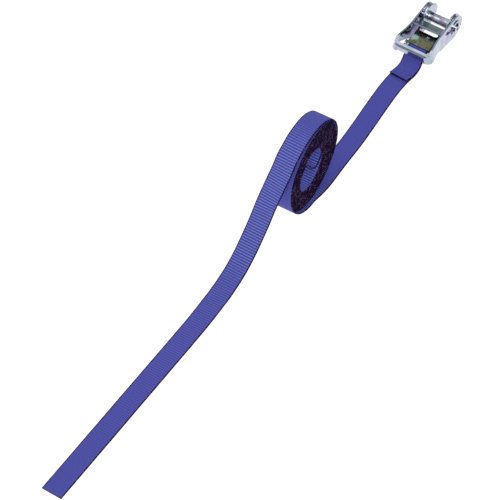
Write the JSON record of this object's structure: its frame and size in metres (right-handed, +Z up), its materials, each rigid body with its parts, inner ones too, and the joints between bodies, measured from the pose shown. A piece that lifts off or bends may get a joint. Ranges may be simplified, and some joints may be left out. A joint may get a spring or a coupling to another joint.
{
  "type": "ratchet tie down",
  "caption": "Endless ratchet tie down without hooks: closed zinc-plated buckle, sewn loop, coiled blue webbing and a free end laid out flat.",
  "frame": {"origin": "middle of the buckle's bounding box, on the plane its base rests on", "axes": "+X from the handle's grip towards the spool, +Y along the spool's axis, +Z up; the webbing leaves along -X"},
  "size_m": [0.8017, 0.0536, 0.1164],
  "materials": {
    "zinc": "bright zinc plate with a blue cast",
    "steel": "zinc plated",
    "webbing": "woven polyester",
    "thread": "thread"
  },
  "bodies": {
    "frame": {"frame_bracket": "zinc", "strap_pin": "steel", "strap_pin_nut": "steel", "strap_pin_sleeve": "steel", "lock_pawl_spring": "steel", "webbing_sewn_loop": "webbing", "webbing_run": "webbing", "webbing_roll": "webbing", "webbing_tail": "webbing", "stitch_row_1": "thread", "stitch_row_2": "thread", "stitch_row_3": "thread", "stitch_row_4": "thread"},
    "handle": {"handle": "zinc", "drive_pawl_spring_left": "steel", "drive_pawl_spring_right": "steel"},
    "drive_pawl": {"drive_pawl": "zinc"},
    "lock_pawl": {"lock_pawl": "zinc"},
    "spool": {"spool_bar_front": "steel", "spool_bar_rear": "steel", "ratchet_wheel_left": "steel", "ratchet_wheel_right": "steel", "end_washer_left": "zinc", "end_washer_right": "zinc", "cotter_pin_left": "steel", "cotter_pin_right": "steel"}
  },
  "joints": [
    {"name": "handle_hinge", "type": "hinge", "parent": "frame", "child": "handle", "pos_m": [0.02475, 0, 0.0168], "axis": [0, 1, 0], "range_deg": [0, 180]},
    {"name": "spool_turn", "type": "hinge", "parent": "frame", "child": "spool", "pos_m": [0.02475, 0, 0.0168], "axis": [0, 1, 0], "continuous": true},
    {"name": "drive_pawl_slide", "type": "slide", "parent": "handle", "child": "drive_pawl", "axis": [-0.9397, 0, 0.342], "range_m": [0, 0.0026], "stiffness_N_per_m": 600, "springref_m": -0.004, "deforming": ["drive_pawl_spring_left", "drive_pawl_spring_right"]},
    {"name": "lock_pawl_slide", "type": "slide", "parent": "frame", "child": "lock_pawl", "axis": [-0.9962, 0, 0.0872], "range_m": [0, 0.0026], "stiffness_N_per_m": 600, "springref_m": -0.004, "deforming": ["lock_pawl_spring"]}
  ]
}
